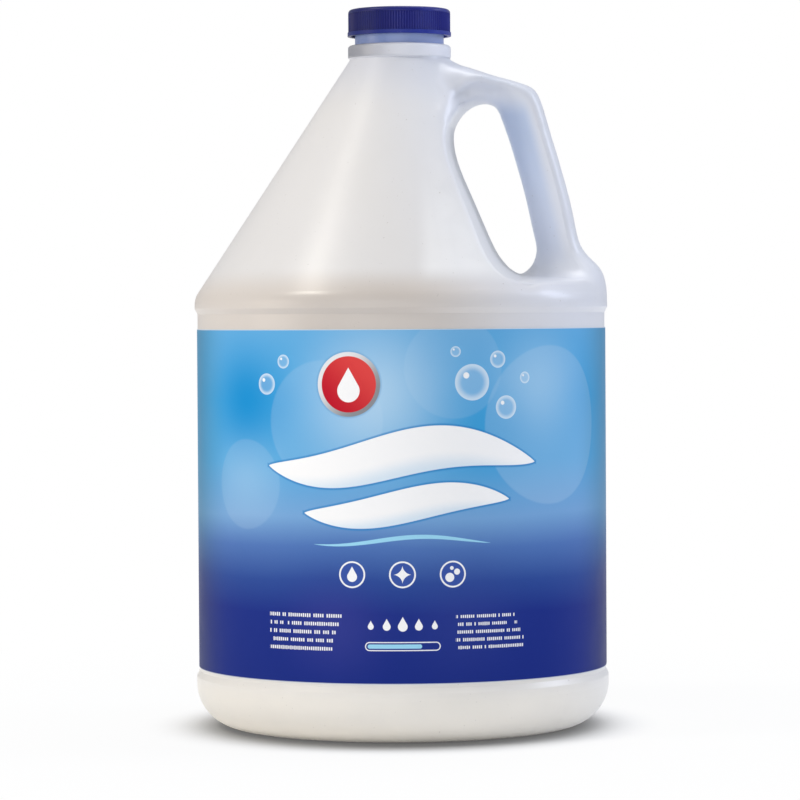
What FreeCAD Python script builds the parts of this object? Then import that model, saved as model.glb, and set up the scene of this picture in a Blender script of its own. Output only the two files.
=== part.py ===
import FreeCAD, Part
import math
import os

import Sketcher

# A one-gallon round jug for household liquid, blown in one piece with a pinched handle,
# with a ribbed screw cap, the foam disc inside the cap, and a wrap-around film label.
# Millimetres. The origin is the middle of the base, on the surface the jug stands on.
# +Z runs up the neck, +X towards the handle, and the front of the label faces -Y.

SIZES = {
    # Body
    "body_radius": 81.1,
    "heel_radius": 17.0,
    "land_width": 3.5,
    "push_up": 6.5,
    "push_slope": 8.0,
    "weld_length": 88.0,
    "weld_width": 0.9,
    "weld_height": 0.5,
    "wall": 1.2,
    "bumper_top": 20.0,
    "step_rise": 2.2,
    "label_recess": 1.1,
    "panel_top": 161.8,
    "bead_width": 1.4,
    "shoulder_round": 9.0,
    "edge_round": 0.7,
    # Cone and neck
    "cone_top": 261.3,
    "cone_top_radius": 19.5,
    "collar_radius": 20.2,
    "collar_flare": 0.7,
    "collar_width": 4.9,
    "collar_round": 1.2,
    "neck_radius": 17.45,
    "bore_radius": 15.75,
    "neck_rise": 11.8,
    "rim_round": 0.5,
    # Pinch for the fingers
    "pinch_flare_angle": 6.16,
    "pinch_rim_round": 3.0,
    # Handle
    "grip_half_depth": 12.5,
    # Thread
    "thread_pitch": 4.233,
    "thread_height": 1.1,
    "thread_root": 1.9,
    "thread_crest": 0.7,
    "neck_turns": 1.25,
    "cap_turns": 0.95,
    "cap_turns_above": 0.3,
    "thread_start": 1.9,
    "thread_sink": 0.25,
    # Cap
    "cap_clearance": 0.4,
    "cap_wall": 0.75,
    "cap_top_wall": 1.3,
    "cap_gap": 3.6,
    "cap_round": 1.4,
    "crown_band": 0.3,
    "rib_height": 0.35,
    "rib_count": 120,
    "flange_width": 1.5,
    "flange_reach": 0.3,
    "liner_thickness": 1.0,
    "liner_clearance": 0.3,
    # Label
    "label_gap": 0.05,
    "label_film": 0.2,
    "label_lift": 1.3,
    "label_headroom": 5.8,
    "label_lap": 9.0,
}

# Lines of the finger pinch in the middle plane, from the top of the hole round to the ledge,
# as shares of the reach from neck to body and of the rise from shoulder to neck. The third
# and fourth numbers say how far the line moves out and up for each millimetre of widening.
PINCH_LINE = [
    (0.284, 0.840, 0.0, 0.5),
    (0.200, 0.822, 0.0, 0.9),
    (0.110, 0.795, -0.2, 0.8),
    (0.047, 0.743, -0.7, 0.5),
    (0.028, 0.669, -1.0, 0.1),
    (0.058, 0.571, -1.0, 0.0),
    (0.143, 0.438, -1.0, 0.0),
    (0.245, 0.284, -0.95, -0.1),
    (0.356, 0.162, -0.8, -0.4),
    (0.445, 0.123, -0.2, -0.6),
]

# Stations along the handle, from inside the cone to inside the shoulder. Each gives the finger
# side and the outer side as shares of reach and rise, then the half depth against the grip's.
# A smooth surface follows the stations and rounds off where they turn.
HANDLE_STATIONS = [
    ((-0.080, 0.640), (-0.085, 0.985), 1.3),
    ((0.020, 0.752), (0.122, 0.995), 1.75),
    ((0.200, 0.842), (0.300, 0.937), 1.2),
    ((0.305, 0.805), (0.456, 0.899), 1.05),
    ((0.336, 0.751), (0.563, 0.884), 1.0),
    ((0.386, 0.665), (0.615, 0.759), 1.0),
    ((0.440, 0.543), (0.687, 0.607), 1.0),
    ((0.494, 0.418), (0.750, 0.465), 1.0),
    ((0.531, 0.288), (0.792, 0.350), 1.0),
    ((0.567, 0.215), (0.813, 0.255), 1.03),
    ((0.521, 0.148), (0.872, 0.190), 1.17),
    ((0.446, 0.111), (0.981, 0.141), 1.44),
    ((0.390, 0.058), (1.002, 0.058), 1.84),
    ((0.349, -0.015), (0.998, -0.009), 2.24),
]
GRIP_CENTRE = 0.72
GRIP_INNER_FULLNESS = 0.52
GRIP_OUTER_FULLNESS = 0.62

# Straight steps in one turn of thread, and how many of them an end takes to fade out
THREAD_STEPS = 24
THREAD_FADE = 3

doc = FreeCAD.newDocument("jug")


def fill_sheet(name, cells):
    """A spreadsheet with one named cell to a row."""
    sheet = doc.addObject("Spreadsheet::Sheet", name)
    for row, (alias, text) in enumerate(cells.items(), start=1):
        sheet.set(f"A{row}", alias)
        sheet.set(f"B{row}", text)
        sheet.setAlias(f"B{row}", alias)
    doc.recompute()
    return sheet


def skin_places(side, inset):
    """Corners of the jug's outline on one side of its wall, set in from the outside by inset."""
    return {
        f"{side}_floor": f"={inset}",
        f"{side}_push": f"=sizes.push_up + {inset}",
        f"{side}_skin": f"=sizes.body_radius - {inset}",
        f"{side}_panel": f"=sizes.body_radius - sizes.label_recess - {inset}",
        f"{side}_round_across": f"=shoulder_centre + (sizes.shoulder_round - {inset}) * cos(lean)",
        f"{side}_round_up": f"=shoulder_low + (sizes.shoulder_round - {inset}) * sin(lean)",
        f"{side}_cone_across": f"=sizes.cone_top_radius - {inset} * cos(lean)",
        f"{side}_cone_up": f"=sizes.cone_top - {inset} * sin(lean)",
    }


PLACES = {
    "axis": "=0",
    "land_outside": "=sizes.body_radius - sizes.heel_radius",
    "land_inside": "=land_outside - sizes.land_width",
    "push_edge": "=land_inside - sizes.push_slope",
    "heel_top": "=sizes.heel_radius",
    "bumper_top": "=sizes.bumper_top",
    "panel_bottom": "=sizes.bumper_top + sizes.step_rise",
    "panel_top": "=sizes.panel_top",
    "bead_bottom": "=sizes.panel_top + sizes.step_rise",
    "shoulder_low": "=bead_bottom + sizes.bead_width",
    "shoulder_centre": "=sizes.body_radius - sizes.shoulder_round",
    "shoulder_to_top": "=sizes.cone_top - shoulder_low",
    "centre_to_top": "=shoulder_centre - sizes.cone_top_radius",
    "slant": "=sqrt(shoulder_to_top ^ 2 + centre_to_top ^ 2)",
    "lean": "=180 deg - acos(centre_to_top / slant) - acos(sizes.shoulder_round / slant)",
    "collar_bottom": "=sizes.cone_top + sizes.collar_flare",
    "collar_top": "=collar_bottom + sizes.collar_width",
    "collar": "=sizes.collar_radius",
    "neck": "=sizes.neck_radius",
    "rim": "=collar_top + sizes.neck_rise",
    "bore": "=sizes.bore_radius",
    "above_rim": "=rim + 2 * sizes.wall",
    **skin_places("outer", "0"),
    **skin_places("inner", "sizes.wall"),
    "bore_bottom": "=inner_cone_up + (inner_cone_across - bore) / tan(lean)",
    "thread_top": "=rim - sizes.thread_start",
    "thread_reach": "=sizes.neck_radius + sizes.thread_height",
    "cap_inside": "=thread_reach + sizes.cap_clearance",
    "rib_root": "=cap_inside + sizes.cap_wall",
    "rib_tip": "=rib_root + sizes.rib_height",
    "flange": "=rib_tip + sizes.flange_reach",
    "cap_bottom": "=collar_top + sizes.cap_gap",
    "flange_top": "=cap_bottom + sizes.flange_width",
    "liner_bottom": "=rim",
    "liner_top": "=rim + sizes.liner_thickness",
    "cap_top": "=liner_top + sizes.cap_top_wall",
    "cap_shoulder": "=cap_top - sizes.cap_round",
    "cap_crown": "=rib_tip - sizes.cap_round",
    "liner": "=cap_inside - sizes.liner_clearance",
    "label_inside": "=outer_panel + sizes.label_gap",
    "label_outside": "=label_inside + sizes.label_film",
    "label_bottom": "=panel_bottom + sizes.label_lift",
    "label_width": "=panel_top - sizes.label_headroom - label_bottom",
}

sizes = fill_sheet("sizes", {alias: str(value) for alias, value in SIZES.items()})
places = fill_sheet("places", PLACES)


def size(alias):
    """A driving size from the sheet, as a plain number."""
    return float(sizes.get(alias))


def place(alias):
    """A worked-out place from the sheet, as a plain number."""
    value = places.get(alias)
    return float(getattr(value, "Value", value))


def origin_part(body, role):
    """One of a body's own origin planes or axes."""
    return next(item for item in body.Origin.OriginFeatures if item.Role == role)


def new_sketch(body, name, role):
    sketch = body.newObject("Sketcher::SketchObject", name)
    sketch.AttachmentSupport = (origin_part(body, role), [""])
    sketch.MapMode = "FlatFace"
    return sketch


def hold(sketch, geometry, point, direction, alias):
    """Ties one coordinate of a point to a place on the sheet."""
    kind = {"across": "DistanceX", "up": "DistanceY"}[direction]
    index = sketch.addConstraint(Sketcher.Constraint(kind, -1, 1, geometry, point, place(alias)))
    name = f"{direction}_{geometry}_{point}"
    sketch.renameConstraint(index, name)
    sketch.setExpression(f"Constraints.{name}", f"places.{alias}")


def outline(sketch, corners):
    """A closed outline of lines and arcs. A corner is (across, up), or (across, up, centre across)
    when an arc leads to it; both its coordinates, and the arc's centre, are tied to the sheet."""
    spots = [FreeCAD.Vector(place(corner[0]), place(corner[1]), 0) for corner in corners]
    ends = []
    for number, corner in enumerate(corners):
        start, end = spots[number - 1], spots[number]
        if len(corner) == 2:
            ends.append((sketch.addGeometry(Part.LineSegment(start, end)), 1, 2))
            continue
        centre_x = place(corner[2])
        middle = (start + end) * 0.5
        chord = end - start
        centre_y = middle.y + (middle.x - centre_x) * chord.x / chord.y
        centre = FreeCAD.Vector(centre_x, centre_y, 0)
        first, last = start - centre, end - centre
        forward = first.cross(last).z > 0
        if not forward:
            first, last = last, first
        circle = Part.Circle(centre, FreeCAD.Vector(0, 0, 1), first.Length)
        arc = Part.ArcOfCircle(circle, math.atan2(first.y, first.x), math.atan2(last.y, last.x))
        ends.append((sketch.addGeometry(arc), 1 if forward else 2, 2 if forward else 1))
    for number, (geometry, start, end) in enumerate(ends):
        before, _, before_end = ends[number - 1]
        sketch.addConstraint(Sketcher.Constraint("Coincident", before, before_end, geometry, start))
        hold(sketch, geometry, end, "across", corners[number][0])
        hold(sketch, geometry, end, "up", corners[number][1])
        if len(corners[number]) == 3:
            hold(sketch, geometry, 3, "across", corners[number][2])


def turned_body(name, corners):
    """A body of revolution about Z from one closed outline."""
    body = doc.addObject("PartDesign::Body", name)
    sketch = new_sketch(body, f"{name}_outline", "XZ_Plane")
    outline(sketch, corners)
    turn = body.newObject("PartDesign::Revolution", f"{name}_turn")
    turn.Profile = sketch
    turn.ReferenceAxis = (sketch, ["V_Axis"])
    turn.Angle = 360
    doc.recompute()
    return body, turn


def rings_at(shape, wanted):
    """Names of the round edges about Z that lie at the wanted radii and heights."""
    found = []
    for number, edge in enumerate(shape.Edges, start=1):
        if edge.Degenerated or not isinstance(edge.Curve, Part.Circle):
            continue
        spot = (edge.Curve.Radius, edge.Curve.Center.z)
        if any(math.dist(spot, target) < 0.01 for target in wanted):
            found.append(f"Edge{number}")
    return found


def round_rings(body, base, name, wanted, radius):
    rounding = body.newObject("PartDesign::Fillet", name)
    rounding.Base = (base, rings_at(base.Shape, wanted))
    rounding.setExpression("Radius", f"sizes.{radius}")
    doc.recompute()
    return rounding


def solid_feature(name, shape):
    feature = doc.addObject("Part::Feature", name)
    feature.Shape = shape
    feature.Placement = FreeCAD.Placement()
    return feature


def outwards(solid):
    """The same solid with its faces turned outwards."""
    if solid.Volume < 0:
        solid.reverse()
    return solid


def combine(kind, name, base, tool):
    result = doc.addObject(f"Part::{kind}", name)
    result.Base = base
    result.Tool = tool
    doc.recompute()
    return result


def lower_corners(side):
    """The outline that both faces of the wall share, from the push-up to the top of the cone."""
    return [
        ("push_edge", f"{side}_push"),
        ("land_inside", f"{side}_floor"),
        ("land_outside", f"{side}_floor"),
        (f"{side}_skin", "heel_top", "land_outside"),
        (f"{side}_skin", "bumper_top"),
        (f"{side}_panel", "panel_bottom"),
        (f"{side}_panel", "panel_top"),
        (f"{side}_skin", "bead_bottom"),
        (f"{side}_skin", "shoulder_low"),
        (f"{side}_round_across", f"{side}_round_up", "shoulder_centre"),
        (f"{side}_cone_across", f"{side}_cone_up"),
    ]


def jug_outside():
    body, turn = turned_body("jug_outside", lower_corners("outer") + [
        ("collar", "collar_bottom"),
        ("collar", "collar_top"),
        ("neck", "collar_top"),
        ("neck", "rim"),
        ("axis", "rim"),
        ("axis", "outer_push"),
    ])
    steps = [(place("outer_skin"), place("bumper_top")), (place("outer_skin"), place("bead_bottom"))]
    collar = [(place("collar"), place("collar_bottom")), (place("collar"), place("collar_top"))]
    soft = round_rings(body, turn, "step_rounding", steps, "edge_round")
    soft = round_rings(body, soft, "collar_rounding", collar, "collar_round")
    round_rings(body, soft, "rim_rounding", [(place("neck"), place("rim"))], "rim_round")
    return body


def jug_inside():
    body, _ = turned_body("jug_inside", lower_corners("inner") + [
        ("bore", "bore_bottom"),
        ("bore", "above_rim"),
        ("axis", "above_rim"),
        ("axis", "inner_push"),
    ])
    return body


def shoulder_spot(out, up, across=0.0):
    """A point beside the cone, by its share of the reach and of the rise."""
    reach = size("body_radius") - size("cone_top_radius")
    rise = size("cone_top") - place("shoulder_low")
    return FreeCAD.Vector(size("cone_top_radius") + out * reach, across, place("shoulder_low") + up * rise)


def pinch_wire(across, widening):
    """The pinch's outline in the plane y = across, grown by widening."""
    points = []
    for out, up, move_out, move_up in PINCH_LINE:
        shift = FreeCAD.Vector(move_out * widening, 0, move_up * widening)
        points.append(shoulder_spot(out, up, across) + shift)
    curve = Part.BSplineCurve()
    curve.interpolate(points)
    clear = 1.4 * size("body_radius")
    above = place("rim")
    lines = [
        points[-1],
        FreeCAD.Vector(clear, across, points[-1].z - 0.025 * clear),
        FreeCAD.Vector(clear, across, above),
        FreeCAD.Vector(points[0].x, across, above),
        points[0],
    ]
    edges = [curve.toShape()]
    edges += [Part.LineSegment(a, b).toShape() for a, b in zip(lines, lines[1:])]
    return Part.Wire(edges)


def pinch(name, growth):
    """The room for the fingers, widening from the middle plane out to both sides."""
    side = 1.1 * size("body_radius")
    far_growth = growth + math.tan(math.radians(size("pinch_flare_angle"))) * side
    middle = pinch_wire(0, growth)
    front = Part.makeLoft([pinch_wire(-side, far_growth), middle], True, True)
    back = Part.makeLoft([middle, pinch_wire(side, far_growth)], True, True)
    return solid_feature(name, front.fuse(back))


def pinch_rim(shape):
    """The edges where the pinch breaks through the cone and the shoulder."""
    found = []
    for number, edge in enumerate(shape.Edges, start=1):
        middle = edge.valueAt((edge.FirstParameter + edge.LastParameter) / 2)
        beside_cone = place("shoulder_low") < middle.z < size("cone_top")
        if beside_cone and middle.x > size("wall") and abs(middle.y) > size("pinch_rim_round"):
            found.append(number)
    return found


def grip_section(finger_side, outer_side, half_depth):
    """Poles of an egg-shaped section of the handle, in four quarters, broad end outwards."""
    side = FreeCAD.Vector(0, half_depth, 0)
    centre = finger_side + (outer_side - finger_side) * GRIP_CENTRE
    inward = (finger_side - centre) * GRIP_INNER_FULLNESS
    outward = (outer_side - centre) * GRIP_OUTER_FULLNESS
    front, back = centre - side, centre + side
    return [
        [finger_side, finger_side - side * GRIP_INNER_FULLNESS, front + inward, front],
        [front, front + outward, outer_side - side * GRIP_OUTER_FULLNESS, outer_side],
        [outer_side, outer_side + side * GRIP_OUTER_FULLNESS, back + outward, back],
        [back, back + inward, finger_side + side * GRIP_INNER_FULLNESS, finger_side],
    ]


def section_face(quarters):
    """The flat end of the handle, bounded by one section."""
    edges = []
    for poles in quarters:
        curve = Part.BezierCurve()
        curve.setPoles(poles)
        edges.append(curve.toShape())
    return Part.Face(Part.Wire(edges))


def swept_quarter(rows):
    """A cubic surface that follows the same quarter of every section."""
    spans = len(rows) - 3
    surface = Part.BSplineSurface()
    surface.buildFromPolesMultsKnots(
        rows,
        [4] + [1] * (spans - 1) + [4],
        [4, 4],
        [float(knot) for knot in range(spans + 1)],
        [0.0, 1.0],
        False, False, 3, 3)
    return surface.toShape()


def handle(name, inset):
    """The hollow handle's outside, or its inside when set in by the wall."""
    sections = []
    for finger_share, outer_share, depth_share in HANDLE_STATIONS:
        finger_side = shoulder_spot(*finger_share)
        outer_side = shoulder_spot(*outer_share)
        out = (outer_side - finger_side).normalize()
        half_depth = depth_share * size("grip_half_depth") - inset
        sections.append(grip_section(finger_side + out * inset, outer_side - out * inset, half_depth))
    faces = [swept_quarter([section[quarter] for section in sections]) for quarter in range(4)]
    faces += [section_face(sections[0]), section_face(sections[-1])]
    shell = Part.makeShell(faces)
    shell.sewShape()
    solid = Part.makeSolid(shell)
    return solid_feature(name, outwards(solid))


def thread_ridge(name, root_radius, way, helix_z, first_turn, turns):
    """A helical ridge on the wall at root_radius, standing outwards (way 1) or inwards (way -1).
    The helix passes helix_z on the +X side, runs down clockwise, and fades out at both ends."""
    half_root = size("thread_root") / 2
    half_crest = size("thread_crest") / 2
    root = root_radius - way * size("thread_sink")
    steps = math.ceil(turns * THREAD_STEPS)
    rings = []
    for step in range(steps + 1):
        turn = first_turn + turns * step / steps
        fade = min(1.0, (step + 0.5) / THREAD_FADE, (steps - step + 0.5) / THREAD_FADE)
        crest = root_radius + way * size("thread_height") * fade
        angle = -2 * math.pi * turn
        z = helix_z - size("thread_pitch") * turn
        profile = [(root, half_root), (crest, half_crest), (crest, -half_crest), (root, -half_root)]
        rings.append([
            FreeCAD.Vector(radius * math.cos(angle), radius * math.sin(angle), z + rise)
            for radius, rise in profile
        ])
    faces = [Part.Face(Part.makePolygon(ring + ring[:1])) for ring in (rings[0], rings[-1])]
    for near, far in zip(rings, rings[1:]):
        for corner in range(4):
            after = (corner + 1) % 4
            faces.append(Part.makeRuledSurface(
                Part.LineSegment(near[corner], near[after]).toShape(),
                Part.LineSegment(far[corner], far[after]).toShape()))
    shell = Part.makeShell(faces)
    shell.sewShape()
    solid = Part.makeSolid(shell)
    return solid_feature(name, outwards(solid))


def base_weld():
    """The low ridge across the push-up where the blown tube was pinched shut."""
    weld = doc.addObject("Part::Box", "base_weld")
    weld.setExpression("Length", "sizes.weld_length")
    weld.setExpression("Width", "sizes.weld_width")
    weld.setExpression("Height", "sizes.weld_height + sizes.wall / 2")
    weld.setExpression("Placement.Base.x", "-sizes.weld_length / 2")
    weld.setExpression("Placement.Base.y", "-sizes.weld_width / 2")
    weld.setExpression("Placement.Base.z", "sizes.push_up - sizes.weld_height")
    return weld


def bottle():
    """The jug itself: one blown shell with its handle, collar, neck and thread."""
    pinched = combine("Cut", "jug_pinched", jug_outside(), pinch("pinch_outside", 0.0))
    rimmed = doc.addObject("Part::Fillet", "pinch_rim_rounding")
    rimmed.Base = pinched
    radius = size("pinch_rim_round")
    rimmed.Edges = [(number, radius, radius) for number in pinch_rim(pinched.Shape)]
    doc.recompute()
    outside = combine("Fuse", "jug_with_handle", rimmed, handle("handle_outside", 0.0))
    room = combine("Cut", "room_pinched", jug_inside(), pinch("pinch_inside", size("wall")))
    inside = combine("Fuse", "room_with_handle", room, handle("handle_inside", size("wall")))
    shell = combine("Cut", "jug_shell", outside, inside)
    ridge = thread_ridge("neck_thread", size("neck_radius"), 1, place("thread_top"), 0.0, size("neck_turns"))
    threaded = combine("Fuse", "jug_threaded", shell, ridge)
    return combine("Fuse", "bottle", threaded, base_weld())


def rib_grooves():
    """The ring of V-shaped grooves that leaves the grip ribs standing below the cap's round edge."""
    count = int(size("rib_count"))
    base = FreeCAD.Vector(0, 0, place("flange_top"))
    rise = place("cap_shoulder") - size("crown_band") - place("flange_top")
    points = []
    for number in range(2 * count):
        radius = place("rib_tip") if number % 2 else place("rib_root")
        angle = math.pi * number / count
        points.append(base + FreeCAD.Vector(radius * math.cos(angle), radius * math.sin(angle), 0))
    ribbed = Part.Face(Part.makePolygon(points + points[:1])).extrude(FreeCAD.Vector(0, 0, rise))
    around = Part.makeCylinder(place("flange") + size("rib_height"), rise, base)
    return solid_feature("rib_grooves", around.cut(ribbed))


def cap():
    """The ribbed screw cap with its flared lower edge and inner thread."""
    body, _ = turned_body("cap_form", [
        ("flange", "cap_bottom"),
        ("flange", "flange_top"),
        ("rib_tip", "flange_top"),
        ("rib_tip", "cap_shoulder"),
        ("cap_crown", "cap_top", "cap_crown"),
        ("axis", "cap_top"),
        ("axis", "liner_top"),
        ("cap_inside", "liner_top"),
        ("cap_inside", "cap_bottom"),
    ])
    ribbed = combine("Cut", "cap_ribbed", body, rib_grooves())
    between = place("thread_top") - size("thread_pitch") / 2
    ridge = thread_ridge("cap_thread", place("cap_inside"), -1, between, -size("cap_turns_above"),
                         size("cap_turns"))
    return combine("Fuse", "cap", ribbed, ridge)


def cap_liner():
    """The foam disc that seals the cap on the rim."""
    body, _ = turned_body("cap_liner", [
        ("liner", "liner_bottom"),
        ("liner", "liner_top"),
        ("axis", "liner_top"),
        ("axis", "liner_bottom"),
    ])
    return body


def ring_pad(body, name, role_radii, length):
    """Two circles about Z, tied to the sheet and raised to the length that it gives."""
    sketch = new_sketch(body, f"{name}_outline", "XY_Plane")
    bottom = FreeCAD.Vector(0, 0, place("label_bottom"))
    sketch.AttachmentOffset = FreeCAD.Placement(bottom, FreeCAD.Rotation())
    sketch.setExpression("AttachmentOffset.Base.z", "places.label_bottom")
    for alias in role_radii:
        circle = Part.Circle(FreeCAD.Vector(0, 0, 0), FreeCAD.Vector(0, 0, 1), place(alias))
        geometry = sketch.addGeometry(circle)
        sketch.addConstraint(Sketcher.Constraint("Coincident", geometry, 3, -1, 1))
        index = sketch.addConstraint(Sketcher.Constraint("Radius", geometry, place(alias)))
        sketch.setExpression(f"Constraints[{index}]", f"places.{alias}")
    pad = body.newObject("PartDesign::Pad", name)
    pad.Profile = sketch
    pad.setExpression("Length", f"places.{length}")
    doc.recompute()
    return pad


def label():
    """The film label round the recessed panel, with its lap at the back."""
    body = doc.addObject("PartDesign::Body", "label_film")
    ring_pad(body, "label_wrap", ["label_inside", "label_outside"], "label_width")
    lap_angle = math.degrees(size("label_lap") / place("label_outside"))
    inner, outer = place("label_outside"), place("label_outside") + size("label_film")
    strips = []
    for radius in (outer, inner):
        strips.append(Part.makeCylinder(radius, place("label_width"),
                                        FreeCAD.Vector(0, 0, place("label_bottom")),
                                        FreeCAD.Vector(0, 0, 1), lap_angle))
    strip = strips[0].cut(strips[1])
    strip.rotate(FreeCAD.Vector(0, 0, 0), FreeCAD.Vector(0, 0, 1), 90 - lap_angle / 2)
    return combine("Fuse", "label", body, solid_feature("label_lap_strip", strip))


def check_document(parts):
    """Stops if any object failed or any finished piece isn't one sound solid."""
    for item in doc.Objects:
        if "Invalid" in item.State or "Error" in item.State:
            raise RuntimeError(f"{item.Name} failed: {item.State}")
    for name, part in parts.items():
        shape = part.Shape
        if shape.isNull() or not shape.isValid() or len(shape.Solids) != 1:
            raise RuntimeError(f"{name} is not one valid solid")
        print(f"{name}: {shape.Volume / 1000:.2f} cc, {len(shape.Faces)} faces")


parts = {
    "bottle": bottle(),
    "cap": cap(),
    "cap_liner": cap_liner(),
    "label": label(),
}
doc.recompute()
check_document(parts)
os.makedirs("parts", exist_ok=True)
for name, part in parts.items():
    part.Label = name
    part.Shape.exportStep(f"parts/{name}.step")
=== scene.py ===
import math

import bmesh
import bpy
from mathutils import Matrix, Vector
from mathutils.bvhtree import BVHTree
from mathutils.interpolate import poly_3d_calc
from mathutils.kdtree import KDTree


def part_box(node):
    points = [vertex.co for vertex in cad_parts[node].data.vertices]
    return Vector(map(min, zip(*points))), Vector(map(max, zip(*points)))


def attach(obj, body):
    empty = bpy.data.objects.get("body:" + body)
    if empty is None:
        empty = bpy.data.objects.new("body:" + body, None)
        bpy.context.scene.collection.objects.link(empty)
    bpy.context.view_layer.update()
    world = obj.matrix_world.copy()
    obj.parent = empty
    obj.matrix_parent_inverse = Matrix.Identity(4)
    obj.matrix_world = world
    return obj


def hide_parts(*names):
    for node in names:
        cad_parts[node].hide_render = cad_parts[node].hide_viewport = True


# A large household jug: white blown plastic with a pinched handle, a ribbed blue screw cap
# with its foam disc, and a printed film label. Metres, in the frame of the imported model.

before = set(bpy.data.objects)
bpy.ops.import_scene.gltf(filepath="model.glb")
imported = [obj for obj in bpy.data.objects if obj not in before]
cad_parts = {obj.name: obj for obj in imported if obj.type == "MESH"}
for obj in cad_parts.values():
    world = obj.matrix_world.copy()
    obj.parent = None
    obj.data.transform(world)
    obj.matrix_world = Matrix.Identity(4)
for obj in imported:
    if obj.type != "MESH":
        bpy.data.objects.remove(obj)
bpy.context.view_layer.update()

MM = 0.001
LABEL_RADIUS = 80.25
LABEL_LOW, LABEL_HIGH = (corner.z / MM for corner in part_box("label"))
LABEL_RISE = LABEL_HIGH - LABEL_LOW
CAP_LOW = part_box("cap")[0].z / MM

# How the creases beside the handle are softened, in millimetres
SKIN_TOP = 268.0
CREASE_ANGLE = math.radians(13.0)
SOFTEN_REACH = 8.0
SOFTEN_ROUNDS = 70
STRAY_NORMAL = 0.4
FOLD_ROUNDS = 14
FOLD_LIMIT = 0.7
DIVIDE_STEP = 1.5
DIVIDE_ROUNDS = 7

# The arch over the finger hole, in millimetres: the line of its rim, across and up from the axis,
# and the straight line of its top from the foot of the collar to the corner of the handle
ARCH_RIM = (
    (14.5, 233.4), (15.0, 238.3), (17.1, 242.8), (20.9, 247.6),
    (25.1, 251.1), (29.2, 253.2), (33.1, 253.3), (36.5, 251.3),
)
RIM_RISE = 0.7
ARCH_TOP_START = (19.3, 261.6)
ARCH_TOP_FALL = 0.36
CONE_FALL = 0.69
CONE_TOP = (19.5, 261.3)


def linear(code, alpha=1.0):
    """A colour written as on a paint card, #rrggbb, in the renderer's own numbers."""
    parts = [int(code[place:place + 2], 16) / 255 for place in (1, 3, 5)]
    return tuple(p / 12.92 if p <= 0.04045 else ((p + 0.055) / 1.055) ** 2.4 for p in parts) + (alpha,)


class Value:
    """A number that changes over a surface. Arithmetic on it adds Math nodes to its paint."""

    def __init__(self, paint, socket):
        self.paint = paint
        self.socket = socket

    def maths(self, operation, *values):
        return self.paint.node("ShaderNodeMath", {"operation": operation}, *values)

    def __add__(self, other):
        return self.maths("ADD", self, other)

    def __sub__(self, other):
        return self.maths("SUBTRACT", self, other)

    def __rsub__(self, other):
        return self.maths("SUBTRACT", other, self)

    def __mul__(self, other):
        return self.maths("MULTIPLY", self, other)

    def __truediv__(self, other):
        return self.maths("DIVIDE", self, other)

    def __rtruediv__(self, other):
        return self.maths("DIVIDE", other, self)

    def __pow__(self, other):
        return self.maths("POWER", self, other)

    def __neg__(self):
        return self.maths("MULTIPLY", self, -1.0)

    __radd__ = __add__
    __rmul__ = __mul__

    def size(self):
        return self.maths("ABSOLUTE", self)

    def root(self):
        return self.maths("SQRT", self)

    def sine(self):
        return self.maths("SINE", self)

    def cosine(self):
        return self.maths("COSINE", self)

    def floor(self):
        return self.maths("FLOOR", self)

    def least(self, other):
        return self.maths("MINIMUM", self, other)

    def most(self, other):
        return self.maths("MAXIMUM", self, other)

    def rise(self, low, high):
        """0 below low, 1 above high, and a smooth step between them."""
        return self.paint.node(
            "ShaderNodeMapRange", {"interpolation_type": "SMOOTHSTEP"}, self, low, high, 0.0, 1.0)


class Paint:
    """One procedural material, built node by node."""

    def __init__(self, name):
        self.material = bpy.data.materials.new(name)
        self.material.use_nodes = True
        self.tree = self.material.node_tree
        self.tree.nodes.clear()
        self.place = self.node("ShaderNodeTexCoord", out="Object")
        axes = self.node("ShaderNodeSeparateXYZ", None, self.place, out=None)
        self.x, self.y, self.z = (Value(self, axes.outputs[axis]) * 1000.0 for axis in range(3))

    def node(self, kind, settings=None, *values, out=0, **named):
        """Adds a node: its settings first, then its sockets' values or links, by order or by name."""
        made = self.tree.nodes.new(kind)
        for name, setting in (settings or {}).items():
            if name == "stops":
                self.set_stops(made.color_ramp, setting)
            else:
                setattr(made, name, setting)
        for place, value in [*enumerate(values), *named.items()]:
            if value is None:
                continue
            socket = made.inputs[place if isinstance(place, int) else place.replace("_", " ")]
            if isinstance(value, Value):
                self.tree.links.new(value.socket, socket)
            else:
                socket.default_value = value
        return made if out is None else Value(self, made.outputs[out])

    @staticmethod
    def set_stops(ramp, stops):
        for number, (position, colour) in enumerate(stops):
            if number < 2:
                stop = ramp.elements[number]
                stop.position = position
            else:
                stop = ramp.elements.new(position)
            stop.color = linear(colour)

    def mix(self, share, below, above, blend="MIX"):
        """Lays the colour above over the colour below, by a share from 0 to 1."""
        colours = [linear(c) if isinstance(c, str) else c for c in (below, above)]
        settings = {"data_type": "RGBA", "blend_type": blend}
        return self.node("ShaderNodeMix", settings, share, None, None, None, None, None, *colours, out=2)

    def noise(self, scale, detail=2.0, roughness=0.5, stretch=(1.0, 1.0, 1.0)):
        """Cloudy noise from 0 to 1, with so many clouds to a metre."""
        spot = self.node("ShaderNodeMapping", None, self.place, None, None, stretch)
        return self.node(
            "ShaderNodeTexNoise", {"noise_dimensions": "3D"}, spot,
            Scale=scale, Detail=detail, Roughness=roughness)

    def bump(self, height, depth, strength=1.0):
        """A normal for a height from 0 to 1 that stands depth millimetres proud."""
        return self.node("ShaderNodeBump", None, Strength=strength, Distance=depth * MM, Height=height)

    def finish(self, colour, roughness, normal, **constants):
        """Closes the material with one plastic surface. Named constants go straight on its sockets."""
        shader = self.node(
            "ShaderNodeBsdfPrincipled", None, out="BSDF",
            Base_Color=colour, Roughness=roughness, Normal=normal, **constants)
        self.node("ShaderNodeOutputMaterial", None, shader, out=None)
        return self.material


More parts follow.
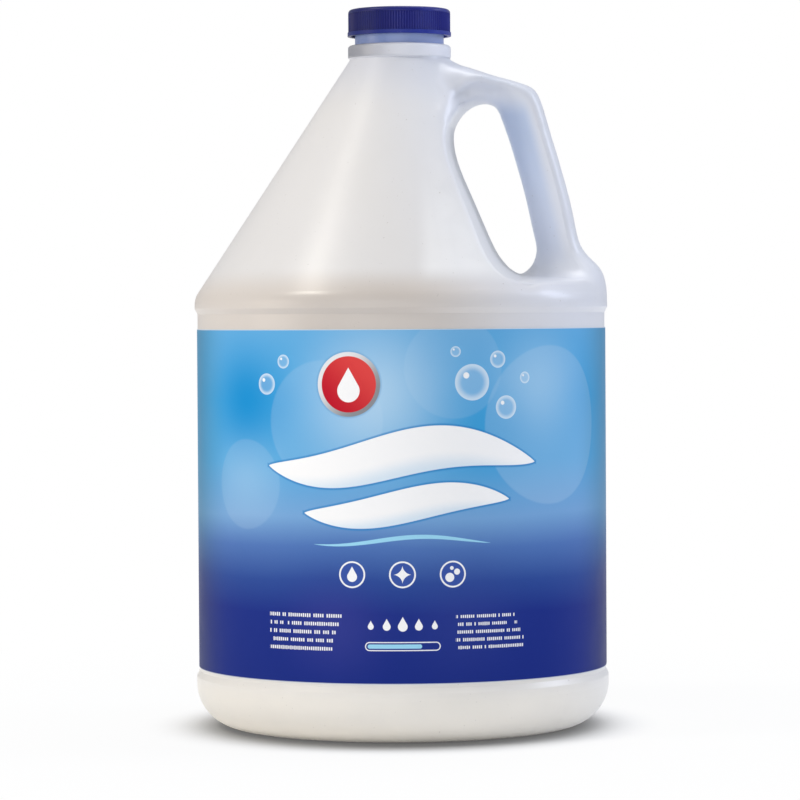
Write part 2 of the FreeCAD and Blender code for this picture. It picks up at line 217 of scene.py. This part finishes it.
def jug_plastic():
    """White blown polyethylene: satin, with a fine grain, soft waves, scuffs and a parting line, and painted
    light and shade on the heel, shoulder, handle, pinch walls, cone top, collar and neck.
    """
    paint = Paint("jug_plastic")
    across = paint.y.size()
    # Painted light: the heel lighter and warmer, as if lit from the white floor below.
    heel_painted_bounce_light = 1.0 - paint.z.rise(14.0, 32.0)
    colour = paint.mix(heel_painted_bounce_light, "#e5e3e2", "#f7f2e8")
    # Painted shade: a warm beige darkening over the shoulder band, strongest on its left side.
    shoulder = paint.z.rise(140.0, 158.0) * (1.0 - paint.z.rise(169.0, 180.0))
    left_painted_warm_shade = 1.0 - paint.x.rise(-10.0, 75.0) * 0.75
    colour = paint.mix(shoulder * left_painted_warm_shade * 0.7, colour, "#d8cdc2")
    # Painted light: the right side and the handle lighter and bluer, as under a cool lamp.
    right_painted_cool_light = (paint.x + paint.z * 0.35).rise(60.0, 125.0)
    colour = paint.mix(right_painted_cool_light * 0.40, colour, "#dde8ff")
    # Share of the grip's width from its finger side, along its slanting length
    grip = (paint.x + paint.z * 0.246 - 99.7) / 15.5
    # Painted shade: the finger side of the handle a cool blue, stronger higher up.
    finger_side_painted_shade = grip.rise(-0.7, -0.05) * (1.0 - grip.rise(0.45, 0.80))
    beside = paint.z.rise(176.0, 190.0) * (1.0 - paint.z.rise(238.0, 248.0)) * paint.x.rise(30.0, 40.0)
    colour = paint.mix(finger_side_painted_shade * beside * (0.30 + paint.z.rise(190.0, 235.0) * 0.40), colour, "#b1c6e9")
    # Painted light: the pinched walls beside the handle, inside the cone's round, lightened toward white.
    cone = (CONE_TOP[1] - paint.z) * CONE_FALL + CONE_TOP[0]
    pinch_painted_light = (cone - (paint.x * paint.x + paint.y * paint.y).root()).rise(0.8, 3.0)
    pinch_painted_light = pinch_painted_light * paint.x.rise(5.0, 12.0) * paint.z.rise(172.0, 180.0)
    pinch_painted_light = pinch_painted_light * (1.0 - (paint.x + paint.z * 0.5).rise(134.0, 144.0))
    colour = paint.mix(pinch_painted_light * 0.7, colour, "#ffffff")
    # Painted shade: the middle of the shoulder band darker.
    middle = 1.0 - (paint.x + 16.0).size().rise(8.0, 58.0)
    colour = paint.mix(shoulder * middle * 0.3, colour, "#a89f98")
    # Painted shade: the top of the cone, toward the collar, greyer and bluer.
    high = paint.z.rise(238.0, 262.0)
    colour = paint.mix(high * 0.35, colour, "#c3cade")
    # Painted shade and light: the collar darker on its left side and lighter on its right.
    collar = paint.z.rise(261.6, 262.2)
    painted_light_rightward = paint.x.rise(-21.0, 14.0)
    colour = paint.mix(collar * (1.0 - painted_light_rightward) * 0.8, colour, "#6f717c")
    colour = paint.mix(collar * painted_light_rightward * 0.7, colour, "#f2f5ff")
    # Painted reflection: blue light from the cap painted onto the neck under it; it stays there when the cap is
    # off.
    neck_painted_cap_light = paint.z.rise(266.7, 267.3) * (1.0 - paint.z.rise(270.8, 272.2))
    colour = paint.mix(neck_painted_cap_light * 0.8, colour, "#7c98d8")
    clouds = paint.noise(55.0, 3.0)
    colour = paint.mix(clouds.rise(0.35, 0.75) * 0.10, colour, "#d8d6d2")
    specks = paint.noise(900.0, 1.0).rise(0.755, 0.80)
    colour = paint.mix(specks * 0.35, colour, "#a59f98")
    seam = 1.0 - across.rise(0.12, 0.42)
    colour = paint.mix(seam * 0.10, colour, "#b9b6b4")
    waves = paint.noise(38.0, 1.0)
    grain = paint.noise(2600.0, 2.0)
    normal = paint.bump(seam * 0.16 + waves * 0.5 + grain * 0.012, 1.0, 0.5)
    roughness = 0.27 + clouds * 0.07 + specks * 0.1
    return paint.finish(
        colour, roughness, normal, Subsurface_Weight=0.12, Subsurface_Scale=0.004,
        Subsurface_Radius=(1.0, 0.95, 0.9), IOR=1.5)


def cap_plastic():
    """Deep blue moulded plastic with worn rib tips and scuffs, and painted shade on its left side and light on
    its right.
    """
    paint = Paint("cap_plastic")
    radius = (paint.x * paint.x + paint.y * paint.y).root()
    height = paint.z - CAP_LOW
    band = 1.0 - height.rise(1.3, 1.9)
    colour = paint.mix(band, "#141a70", "#1b308f")
    tips = radius.rise(19.75, 20.1)
    patches = paint.noise(160.0, 3.0).rise(0.45, 0.7)
    colour = paint.mix(tips * patches * 0.45, colour, "#2f3f9f")
    # Painted shade and light: the cap darker on its left side and brighter blue on its right.
    painted_light_rightward = paint.x.rise(-20.0, 16.0)
    colour = paint.mix((1.0 - painted_light_rightward) * 0.6, colour, "#070940")
    colour = paint.mix(painted_light_rightward * 0.3, colour, "#222d9e")
    scuffs = paint.noise(1400.0, 2.0, stretch=(1.0, 1.0, 2.5)).rise(0.66, 0.74)
    low = 1.0 - height.rise(1.2, 3.2)
    colour = paint.mix(scuffs * patches * (0.12 + low * 0.4), colour, "#aab4e0")
    grain = paint.noise(2200.0, 2.0)
    normal = paint.bump(grain, 0.02)
    roughness = 0.38 + patches * 0.10
    return paint.finish(colour, roughness, normal, IOR=1.5, Specular_IOR_Level=0.3)


def foam_disc():
    """Closed-cell sealing foam, off-white, with fine cells."""
    paint = Paint("foam_disc")
    cells = paint.node(
        "ShaderNodeTexVoronoi", {"feature": "SMOOTH_F1"}, paint.place, Scale=1800.0, Smoothness=0.4)
    colour = paint.mix(cells.rise(0.1, 0.6) * 0.35, "#efeeea", "#d2d0ca")
    return paint.finish(colour, 0.8 + cells * 0.1, paint.bump(cells, 0.08), IOR=1.45)


class LabelPrint:
    """Shapes printed on the film, placed in millimetres round the front and up from its lower edge."""

    def __init__(self, paint):
        self.paint = paint
        turn = paint.node("ShaderNodeMath", {"operation": "ARCTAN2"}, paint.x, -paint.y)
        self.round = turn * LABEL_RADIUS
        self.up = paint.z - LABEL_LOW

    def ink(self, distance, blur=0.12):
        """1 where a signed distance is inside the shape, with a soft printed edge."""
        return 1.0 - distance.rise(-blur, blur)

    def away(self, round_at, up_at):
        """Distance from a spot."""
        a = self.round - round_at
        b = self.up - up_at
        return (a * a + b * b).root()

    def glow(self, round_at, up_at, reach):
        return (1.0 - self.away(round_at, up_at).rise(0.0, reach)) ** 1.4

    def box(self, round_at, up_at, half_round, half_up, corner):
        """Signed distance to a box with rounded corners."""
        a = ((self.round - round_at).size() - (half_round - corner)).most(0.0)
        b = ((self.up - up_at).size() - (half_up - corner)).most(0.0)
        return (a * a + b * b).root() - corner

    def drop(self, round_at, up_at, size):
        """Signed distance to a drop: a round belly drawn up into a point."""
        a = (self.round - round_at).size()
        b = self.up - up_at
        belly = (a * a + b * b).root() - size
        lean = 0.52
        side = a * math.cos(lean) + b * math.sin(lean) - size * 1.0
        cone = side.most(size * 0.5 - b)
        return belly.least(cone)

    def ribbon(self, middle, centre_up, swing, wave, phase, half_length, half_width):
        """Signed distance to a wave-shaped band that tapers to both ends."""
        along = self.round - middle
        crest = (along * (2 * math.pi / wave) + phase).sine() * swing + centre_up
        taper = (1.0 - (along / half_length) ** 2.0).most(0.0) ** 0.8
        across = (self.up - crest).size() - taper * half_width
        return across.most(along.size() - half_length), self.up - crest

    def ticks(self, low, high, left, right, pitch, height, seed):
        """Rows of fine upright ticks in groups of unequal length, within a field."""
        row = ((self.up - low) / pitch).floor()
        level = self.up - low - (row + 0.5) * pitch
        pace = self.round / (height * 0.62) + row * 3.7 + seed
        step = pace.floor()
        part = pace - step
        draw = (step * 78.233 + row * 37.719 + seed).sine() * 437.5453
        draw = draw - draw.floor()
        tick = part.rise(0.02, 0.16) * (1.0 - part.rise(0.66, 0.80)) * draw.rise(0.15, 0.16)
        stroke = self.ink(level.size() - (0.38 + draw * 0.12) * height)
        uneven = ((row * 5.77 + seed).sine() + 1.0) * (right - left) * 0.10
        inside = self.ink(self.round - right + uneven) * self.ink(left - self.round)
        inside = inside * self.ink(self.up - high) * self.ink(low - self.up)
        return stroke * tick * inside


def label_film():
    """Printed film's ground: a sky that deepens to navy, handed on with the drawing tools for the glows,
    bubbles, waves, seal and fine strokes.
    """
    paint = Paint("label_film")
    draw = LabelPrint(paint)
    fade = draw.up / LABEL_RISE + (paint.noise(14.0, 1.0) - 0.5) * 0.05
    colour = paint.node("ShaderNodeValToRGB", {"stops": [
        (0.0, "#142a82"),
        (1.0, "#62aee2"),
        (0.20, "#162d86"),
        (0.29, "#2c4c99"),
        (0.385, "#5177b9"),
        (0.47, "#79a9da"),
        (0.62, "#55aae0"),
        (0.80, "#43a6e0"),
    ]}, fade)
    return colour, fade, draw, paint


def print_label():
    colour, fade, draw, paint = label_film()
    for round_at, up_at, reach, share, tone in [
        (-10.0, 108.0, 46.0, 0.85, "#b9dbf4"),
        (56.0, 112.0, 34.0, 0.65, "#a3d0f0"),
        (-66.0, 78.0, 30.0, 0.42, "#9ccaec"),
        (-66.0, 106.0, 34.0, 0.95, "#0a90d4"),
        (34.0, 92.0, 30.0, 0.45, "#1f9ad8"),
        (-26.0, 22.0, 34.0, 0.35, "#4a4c9c"),
        (24.0, 24.0, 40.0, 0.30, "#3f4d9e"),
    ]:
        colour = paint.mix(draw.glow(round_at, up_at, reach) * share, colour, tone)
    for round_at, up_at, radius, share in [
        (-30.0, 98.0, 23.0, 0.12),
        (62.0, 96.0, 30.0, 0.16),
        (-66.0, 74.0, 17.0, 0.10),
        (20.0, 118.0, 19.0, 0.10),
    ]:
        colour = paint.mix(draw.ink(draw.away(round_at, up_at) - radius, 0.5) * share, colour, "#cfe6f8")
    for round_at, up_at, radius in [
        (27.0, 112.5, 6.8),
        (41.0, 103.0, 4.4),
        (37.5, 121.0, 3.2),
        (49.5, 114.0, 2.2),
        (20.5, 124.0, 2.0),
        (-47.0, 120.5, 2.6),
        (-55.0, 112.0, 4.0),
    ]:
        away = draw.away(round_at, up_at)
        inside = draw.ink(away - radius)
        rim = (away / radius).rise(0.55, 1.0)
        shine = draw.ink(draw.away(round_at - radius * 0.35, up_at + radius * 0.38) - radius * 0.17, 0.2)
        colour = paint.mix(inside * (0.14 + rim * 0.6), colour, "#eaf6ff")
        colour = paint.mix(shine, colour, "#ffffff")
    for middle, centre, swing, wave, phase, half_length, half_width in [
        (0.0, 84.0, 4.6, 112.0, 0.5, 54.0, 8.6),
        (2.0, 66.5, 3.6, 104.0, 0.1, 40.0, 6.4),
    ]:
        band, above = draw.ribbon(middle, centre, swing, wave, phase, half_length, half_width)
        colour = paint.mix(draw.ink(band - 0.75, 0.35) * 0.75, colour, "#2f86c8")
        fold = 1.0 - (above / half_width).rise(-0.95, -0.1)
        white = paint.mix(fold * 0.5, "#ffffff", "#b4d8f2")
        colour = paint.mix(draw.ink(band), colour, white)
    line, _ = draw.ribbon(0.0, 53.5, 1.6, 70.0, 0.9, 34.0, 0.8)
    colour = paint.mix(draw.ink(line), colour, "#9fdcf6")
    seal = draw.away(-20.0, 112.0)
    colour = paint.mix(draw.ink(seal - 12.6, 0.5) * 0.35, colour, "#2c7fc0")
    metal = paint.mix((draw.round + 20.0 - draw.up + 112.0).rise(-14.0, 14.0), "#ececee", "#8f9196")
    colour = paint.mix(draw.ink(seal - 12.1), colour, metal)
    red = paint.mix((draw.round + 20.0 + draw.up - 112.0).rise(-16.0, 16.0), "#c3142b", "#e54846")
    colour = paint.mix(draw.ink(seal - 10.5), colour, red)
    colour = paint.mix(draw.ink(draw.drop(-20.0, 109.6, 4.3)), colour, "#ffffff")
    for round_at in (-19.0, 0.0, 19.0):
        disc = draw.away(round_at, 41.0)
        colour = paint.mix(draw.ink(disc - 5.0), colour, "#ffffff")
        colour = paint.mix(draw.ink(disc - 4.4), colour, "#3c58a8")
    colour = paint.mix(draw.ink(draw.drop(-19.0, 40.2, 1.9)), colour, "#ffffff")
    cross = ((draw.round).size() ** 0.6 + (draw.up - 41.0).size() ** 0.6) ** (1 / 0.6) - 3.4
    colour = paint.mix(draw.ink(cross), colour, "#ffffff")
    for round_at, up_at, radius in [(17.8, 39.8, 1.7), (20.6, 41.9, 1.15), (18.6, 43.3, 0.7)]:
        colour = paint.mix(draw.ink(draw.away(round_at, up_at) - radius), colour, "#ffffff")
    strokes = draw.ticks(11.5, 27.0, -54.0, -20.0, 3.1, 1.45, 1.7)
    strokes = strokes.most(draw.ticks(12.0, 26.5, 20.0, 50.0, 2.9, 1.3, 4.1))
    colour = paint.mix(strokes * 0.9, colour, "#ffffff")
    for number in range(5):
        size = 1.1 + 0.35 * (2 - abs(number - 2))
        drop = draw.drop(6.0 * (number - 2), 21.6, size)
        colour = paint.mix(draw.ink(drop), colour, "#ffffff")
    gauge = draw.box(0.0, 14.2, 14.0, 1.5, 1.5)
    level = draw.box(-3.0, 14.2, 10.2, 0.8, 0.8)
    colour = paint.mix(draw.ink(gauge.size() - 0.18), colour, "#ffffff")
    colour = paint.mix(draw.ink(level), colour, "#9fdcf6")
    # Painted shade: the film's sides, away round from the front, darker and more teal.
    flank_painted_shade = draw.round.size().rise(76.0, 112.0) * (1.0 - draw.round.size().rise(125.0, 175.0))
    colour = paint.mix(flank_painted_shade * 0.65, colour, paint.mix(fade.rise(0.25, 0.5), "#14235e", "#2f7696"))
    edge = (draw.up - LABEL_RISE).size().least(draw.up.size())
    colour = paint.mix(draw.ink(edge - 0.25) * 0.8, colour, "#e8eef6")
    ripple = paint.noise(60.0, 2.0, stretch=(1.0, 1.0, 0.35))
    normal = paint.bump(ripple, 0.25, 0.5)
    roughness = 0.42 + paint.noise(90.0, 2.0) * 0.08
    return paint.finish(colour, roughness, normal, IOR=1.25, Specular_IOR_Level=0.3)


def outer_skin(bm):
    """The faces of the jug's outside below the neck, reached from its widest point."""
    start = max(bm.verts, key=lambda vert: vert.co.x).link_faces[0]
    found = {start}
    ahead = [start]
    while ahead:
        for edge in ahead.pop().edges:
            for face in edge.link_faces:
                if face not in found and face.calc_center_median().z < SKIN_TOP * MM:
                    found.add(face)
                    ahead.append(face)
    return found


def points_along(edge, step):
    """Points on an edge, no further apart than step."""
    start, end = (vert.co for vert in edge.verts)
    count = max(1, math.ceil(edge.calc_length() / step))
    return [start.lerp(end, number / count) for number in range(count + 1)]


def step(value, low, high):
    """0 below low, 1 above high, and a smooth step between them."""
    share = min(1.0, max(0.0, (value - low) / (high - low)))
    return share * share * (3.0 - 2.0 * share)


def in_arch(spot):
    return 8 * MM < spot.x < 56 * MM and 234 * MM < spot.z < 262 * MM


def outside_rim(across, up):
    """Millimetres from the rim of the arch, positive on the side away from the finger hole."""
    spot = Vector((across, up))
    found = None
    for start, end in zip(ARCH_RIM, ARCH_RIM[1:]):
        start = Vector(start)
        way = Vector(end) - start
        share = min(1.0, max(0.0, (spot - start).dot(way) / way.length_squared))
        gap = spot - start - way * share
        side = 1.0 if way.x * gap.y - way.y * gap.x > 0 else -1.0
        if found is None or gap.length < abs(found):
            found = side * gap.length
    return found


def arch_depth(across, up):
    """How far forward the arch stands: straight from the side of the cone to the top line."""
    radius = CONE_TOP[0] + (CONE_TOP[1] - up) * CONE_FALL
    tip = ARCH_TOP_START[0] + (ARCH_TOP_START[1] - up) / ARCH_TOP_FALL
    tip = min(tip, 53.0)
    if tip <= radius or across < radius * radius / tip:
        return 0.0
    return (tip - across) * radius / math.sqrt(tip * tip - radius * radius)


def shape_arch(bm):
    """Fills the skin out above the rim of the arch, sinks it below, and levels the top line."""
    inside = []
    for vert in bm.verts:
        across, up = vert.co.x / MM, vert.co.z / MM
        if not in_arch(vert.co):
            continue
        drop = math.cos(math.pi / 2 * min(1.0, abs(across - 31.5) / 15.0)) ** 2
        drop *= 1.6 * step(up, 246.0, 256.0) * (1.0 - step(up, 259.8, 261.3))
        vert.co.z -= drop * MM
        below = step(-outside_rim(across, up), -0.5, 3.0)
        vert.co.y *= 1.0 - 0.22 * below * (1.0 - step(across, 35.0, 47.0)) * step(up, 243.0, 249.0)
        if not vert.link_faces[0].material_index:
            continue
        inside.append(vert)
        deep = abs(vert.co.y) / MM
        more = arch_depth(across, up) - deep
        if more > 0 and deep > 0.4:
            share = step(outside_rim(across, up), -0.5, 1.5) * step(deep, 0.4, 3.0)
            vert.co.y += math.copysign(more * share * MM, vert.co.y)
    for _ in range(4):
        even(bm, inside)
    bm.normal_update()
    for vert in inside:
        across, up = vert.co.x / MM, vert.co.z / MM
        ridge = 1.0 - step(abs(outside_rim(across, up)), 0.0, 2.4)
        ridge *= step(up, 235.0, 242.0) * (1.0 - step(across, 33.0, 38.0)) * step(abs(vert.co.y) / MM, 2.0, 5.0)
        vert.co += vert.normal * ridge * RIM_RISE * MM
    return inside


def by_the_handle(spot):
    return spot.x > 12 * MM and 172 * MM < spot.z < 260.6 * MM


def handle_creases(skin):
    """A search tree of points along the inward creases where the handle meets the jug."""
    points = []
    for edge in {edge for face in skin for edge in face.edges if len(edge.link_faces) == 2}:
        if by_the_handle(edge.verts[0].co) and edge.calc_face_angle_signed() < -CREASE_ANGLE:
            points += points_along(edge, MM)
    tree = KDTree(len(points))
    for number, point in enumerate(points):
        tree.insert(point, number)
    tree.balance()
    return tree


def divide_skin(bm, wanted):
    """Divides the long edges of the skin that pass a wanted point. Skin faces carry material 1."""
    for _ in range(DIVIDE_ROUNDS):
        chosen = []
        for edge in bm.edges:
            if edge.calc_length() < DIVIDE_STEP * MM or not any(f.material_index for f in edge.link_faces):
                continue
            if any(wanted(point) for point in points_along(edge, 4 * MM)):
                chosen.append(edge)
        bmesh.ops.subdivide_edges(bm, edges=chosen, cuts=1)
        bmesh.ops.triangulate(bm, faces=[face for face in bm.faces if len(face.verts) > 3])


def calm_normals(mesh, shares, rounds=5):
    """The normals of the softened skin, each averaged with its neighbours' a few times."""
    normals = [vert.normal.copy() for vert in mesh.vertices]
    links = [edge.vertices[:] for edge in mesh.edges if all(shares[v] > 0 for v in edge.vertices)]
    for _ in range(rounds):
        sums = [normal.copy() for normal in normals]
        for one, other in links:
            sums[one] += normals[other]
            sums[other] += normals[one]
        normals = [total.normalized() for total in sums]
    return normals


def even(bm, verts):
    bmesh.ops.smooth_vert(
        bm, verts=verts, factor=0.5, use_axis_x=True, use_axis_y=True, use_axis_z=True)


def mend_folds(bm, verts):
    """Evens out the few spots where the softened skin folds over itself."""
    for _ in range(FOLD_ROUNDS):
        bm.normal_update()
        folded = [v for v in verts if any(face.normal.dot(v.normal) < FOLD_LIMIT for face in v.link_faces)]
        if not folded:
            break
        around = {edge.other_vert(vert) for vert in folded for edge in vert.link_edges}
        even(bm, list(around.union(folded).intersection(verts)))


def blend_normals(mesh, model, shares):
    """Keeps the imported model's own normals, and the softened mesh's where its share is high."""
    tree = BVHTree.FromPolygons(
        [vert.co for vert in model.vertices], [face.vertices for face in model.polygons])
    own = calm_normals(mesh, shares)
    normals = []
    for face in mesh.polygons:
        for vertex in face.vertices:
            spot = mesh.vertices[vertex].co.lerp(face.center, 0.03)
            near, _, number, _ = tree.find_nearest(spot)
            twin = model.polygons[number]
            weights = poly_3d_calc([model.vertices[v].co for v in twin.vertices], near)
            normal = sum((model.corner_normals[loop].vector * weight
                          for loop, weight in zip(twin.loop_indices, weights)), Vector())
            normal.normalize()
            share = shares[vertex] if normal.dot(own[vertex]) > STRAY_NORMAL else 1.0
            normals.append(normal.lerp(own[vertex], share).normalized())
    mesh.polygons.foreach_set("use_smooth", [True] * len(mesh.polygons))
    mesh.normals_split_custom_set(normals)


def softened_bottle(material):
    """A copy of the jug whose handle flows into the cone and the shoulder, as blown plastic does."""
    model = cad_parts["bottle"].data
    bm = bmesh.new()
    bm.from_mesh(model)
    bmesh.ops.remove_doubles(bm, verts=bm.verts, dist=0.002 * MM)
    skin = outer_skin(bm)
    for face in bm.faces:
        face.material_index = int(face in skin)
    tree = handle_creases(skin)
    reach = (SOFTEN_REACH + DIVIDE_STEP) * MM
    divide_skin(bm, lambda point: tree.find(point)[2] < reach)
    close = []
    for vert in bm.verts:
        away = tree.find(vert.co)[2] / MM
        if away < SOFTEN_REACH and vert.co.z < 261 * MM and vert.link_faces[0].material_index:
            close.append((vert, away))
    for number in range(SOFTEN_ROUNDS):
        reach = SOFTEN_REACH * math.sqrt(1 - number / SOFTEN_ROUNDS)
        even(bm, [vert for vert, away in close if away < reach])
    mend_folds(bm, [vert for vert, _ in close])
    divide_skin(bm, in_arch)
    arch = shape_arch(bm)
    bm.verts.index_update()
    shares = [0.0] * len(bm.verts)
    for vert in bm.verts:
        away = tree.find(vert.co)[2] / MM
        if away < SOFTEN_REACH and vert.co.z < 261 * MM and vert.link_faces[0].material_index:
            shares[vert.index] = min(1.0, 1.6 * (1 - away / SOFTEN_REACH))
    for vert in arch:
        shares[vert.index] = 1.0
    for face in bm.faces:
        face.material_index = 0
    mesh = bpy.data.meshes.new("bottle_softened")
    bm.to_mesh(mesh)
    bm.free()
    blend_normals(mesh, model, shares)
    mesh.materials.append(material)
    piece = bpy.data.objects.new("bottle_softened", mesh)
    bpy.context.scene.collection.objects.link(piece)
    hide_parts("bottle")
    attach(piece, "bottle")


def dress(node, material):
    """Gives a carried-over node its finish."""
    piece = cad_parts[node]
    piece.data.materials.clear()
    piece.data.materials.append(material)


def floor():
    """A pale floor, brought to white where nothing shades it, with a painted contact shadow close to the jug
    that only the camera sees.
    """
    bm = bmesh.new()
    bmesh.ops.create_grid(bm, x_segments=2, y_segments=2, size=9.0)
    mesh = bpy.data.meshes.new("floor")
    bm.to_mesh(mesh)
    bm.free()
    piece = bpy.data.objects.new("floor", mesh)
    bpy.context.scene.collection.objects.link(piece)
    paint = Paint("floor_white")
    reach = (paint.x * paint.x + paint.y * paint.y).root()
    rays = paint.node("ShaderNodeLightPath", out=None)
    direct = Value(paint, rays.outputs["Is Camera Ray"])
    seen = direct.most(Value(paint, rays.outputs["Is Glossy Ray"]))
    side = paint.x.size() / reach
    reach = reach + side * side * 8.5
    # Painted shadow: the floor darker close to the jug's base, for camera rays only.
    painted_contact_shadow = direct * (1.0 - reach.rise(74.0, 106.0))
    matte = paint.node("ShaderNodeBsdfDiffuse", None, paint.mix(painted_contact_shadow, "#f6f6f6", "#6c6c6c"))
    white = paint.node("ShaderNodeEmission", None, (1.0, 1.0, 1.0, 1.0), 1.0)
    share = 0.10 + reach.rise(78.0, 112.0) * 0.80 + reach.rise(130.0, 420.0) * 0.10
    share = (share + side * side * 0.03).least(1.0)
    surface = paint.node("ShaderNodeMixShader", None, seen * share, matte, white)
    paint.node("ShaderNodeOutputMaterial", None, surface, out=None)
    mesh.materials.append(paint.material)


def lamp(name, place, aim, width, height, watts, colour):
    """A soft rectangular studio lamp."""
    light = bpy.data.lights.new(name, "AREA")
    light.shape = "RECTANGLE"
    light.size, light.size_y = width, height
    light.energy = watts
    light.color = linear(colour)[:3]
    holder = bpy.data.objects.new(name, light)
    bpy.context.scene.collection.objects.link(holder)
    way = Vector(aim) - Vector(place)
    holder.matrix_world = Matrix.Translation(place) @ way.to_track_quat("-Z", "Y").to_matrix().to_4x4()


def studio():
    middle = (0.0, 0.0, 0.15)
    lamp("key", (-1.05, -0.45, 1.45), middle, 0.30, 0.30, 8.0, "#fff9ee")
    lamp("top", (0.25, 0.3, 1.65), middle, 0.9, 0.9, 8.0, "#ffffff")
    lamp("front", (-0.3, -2.2, 0.45), middle, 1.8, 0.9, 7.0, "#ffffff")
    lamp("left", (-1.7, -0.5, 0.35), middle, 0.8, 0.8, 4.5, "#fff0dc")
    lamp("right", (1.5, 0.25, 0.95), middle, 0.5, 0.7, 7.5, "#dfe8ff")
    world = bpy.data.worlds.new("studio")
    bpy.context.scene.world = world
    world.use_nodes = True
    tree = world.node_tree
    tree.nodes.clear()
    rays = tree.nodes.new("ShaderNodeLightPath")
    dim = tree.nodes.new("ShaderNodeBackground")
    dim.inputs["Color"].default_value = linear("#f2f5fb")
    dim.inputs["Strength"].default_value = 0.50
    white = tree.nodes.new("ShaderNodeBackground")
    white.inputs["Color"].default_value = (1.0, 1.0, 1.0, 1.0)
    choose = tree.nodes.new("ShaderNodeMixShader")
    out = tree.nodes.new("ShaderNodeOutputWorld")
    tree.links.new(rays.outputs["Is Camera Ray"], choose.inputs[0])
    tree.links.new(dim.outputs[0], choose.inputs[1])
    tree.links.new(white.outputs[0], choose.inputs[2])
    tree.links.new(choose.outputs[0], out.inputs[0])


def camera():
    """The photograph's view: level with the label, a long lens, and a slight lean."""
    distance = 1.438
    height = 0.1631
    aside = -0.00055
    focal_pixels = 3651.0
    horizon_above = 90.0
    lean = math.radians(0.33)
    pitch = math.atan(horizon_above / focal_pixels)
    data = bpy.data.cameras.new("camera")
    data.sensor_width = 36.0
    data.lens = focal_pixels / 800.0 * data.sensor_width
    data.clip_end = 50.0
    holder = bpy.data.objects.new("camera", data)
    bpy.context.scene.collection.objects.link(holder)
    ahead = Vector((0.0, math.cos(pitch), -math.sin(pitch)))
    up = Vector((0.0, math.sin(pitch), math.cos(pitch)))
    right = Vector((1.0, 0.0, 0.0))
    leaned_up = up * math.cos(lean) + right * math.sin(lean)
    leaned_right = right * math.cos(lean) - up * math.sin(lean)
    turn = Matrix((leaned_right, leaned_up, -ahead)).transposed().to_4x4()
    holder.matrix_world = Matrix.Translation((aside, -distance, height)) @ turn
    bpy.context.scene.camera = holder


softened_bottle(jug_plastic())
dress("cap", cap_plastic())
dress("cap_liner", foam_disc())
dress("label", print_label())
floor()
studio()
camera()
bpy.context.scene.view_settings.view_transform = "Standard"
